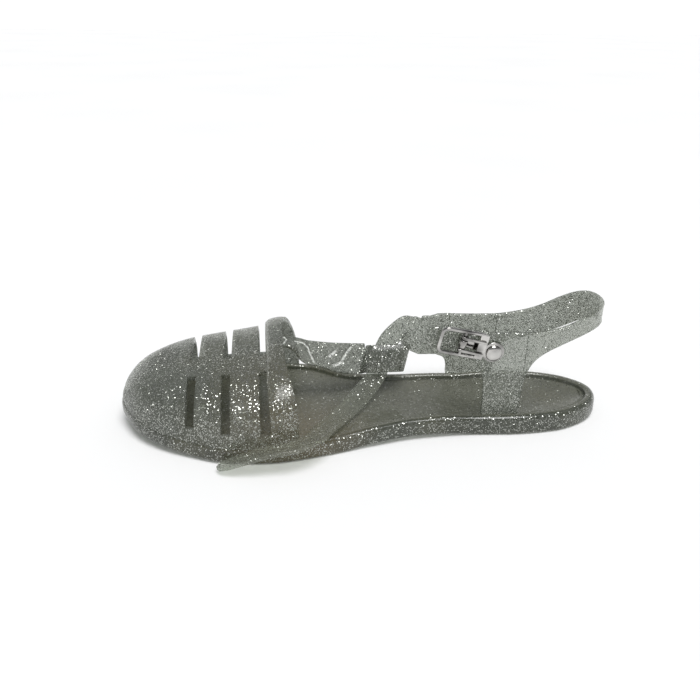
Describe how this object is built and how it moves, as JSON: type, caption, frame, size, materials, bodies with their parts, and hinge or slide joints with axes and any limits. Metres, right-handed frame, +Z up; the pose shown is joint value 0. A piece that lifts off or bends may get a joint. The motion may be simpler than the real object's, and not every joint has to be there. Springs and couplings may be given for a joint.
{
  "type": "jelly sandal",
  "caption": "Left moulded clear-plastic sandal with a caged closed toe, T-strap with loop, heel harness, loose ankle strap and metal buckle.",
  "frame": {"origin": "on the floor under the middle of the heel", "axes": "+X along the shoe to the toe, +Y to the outer side of the foot, +Z up from the floor"},
  "size_m": [0.245, 0.1095, 0.063],
  "materials": {
    "clear_grey_jelly": "clear grey-green soft plastic with glitter flakes inside, smooth and glossy",
    "dark_grey_jelly": "the same clear grey-green plastic, darker where it is thick",
    "bright_nickel": "bright nickel plate, lightly rubbed"
  },
  "bodies": {
    "root": {"sole": "dark_grey_jelly", "toe_upper": "clear_grey_jelly", "heel_upper": "clear_grey_jelly", "buckle_tab": "bright_nickel", "rivet": "bright_nickel"},
    "frame": {"buckle_frame": "bright_nickel"},
    "prong_a": {"prong_upper": "bright_nickel"},
    "prong_b": {"prong_lower": "bright_nickel"}
  },
  "joints": [
    {"name": "frame_rock", "type": "hinge", "parent": "root", "child": "frame", "pos_m": [0.0488, 0.03336, 0.05202], "axis": [0.225, -0.1161, -0.9674], "range_deg": [-1, 5]},
    {"name": "prong_upper_swing", "type": "hinge", "parent": "frame", "child": "prong_a", "pos_m": [0.0488, 0.03336, 0.05202], "axis": [0.225, -0.1161, -0.9674], "range_deg": [0, 150]},
    {"name": "prong_lower_swing", "type": "hinge", "parent": "frame", "child": "prong_b", "pos_m": [0.0488, 0.03336, 0.05202], "axis": [0.225, -0.1161, -0.9674], "range_deg": [0, 150]}
  ]
}
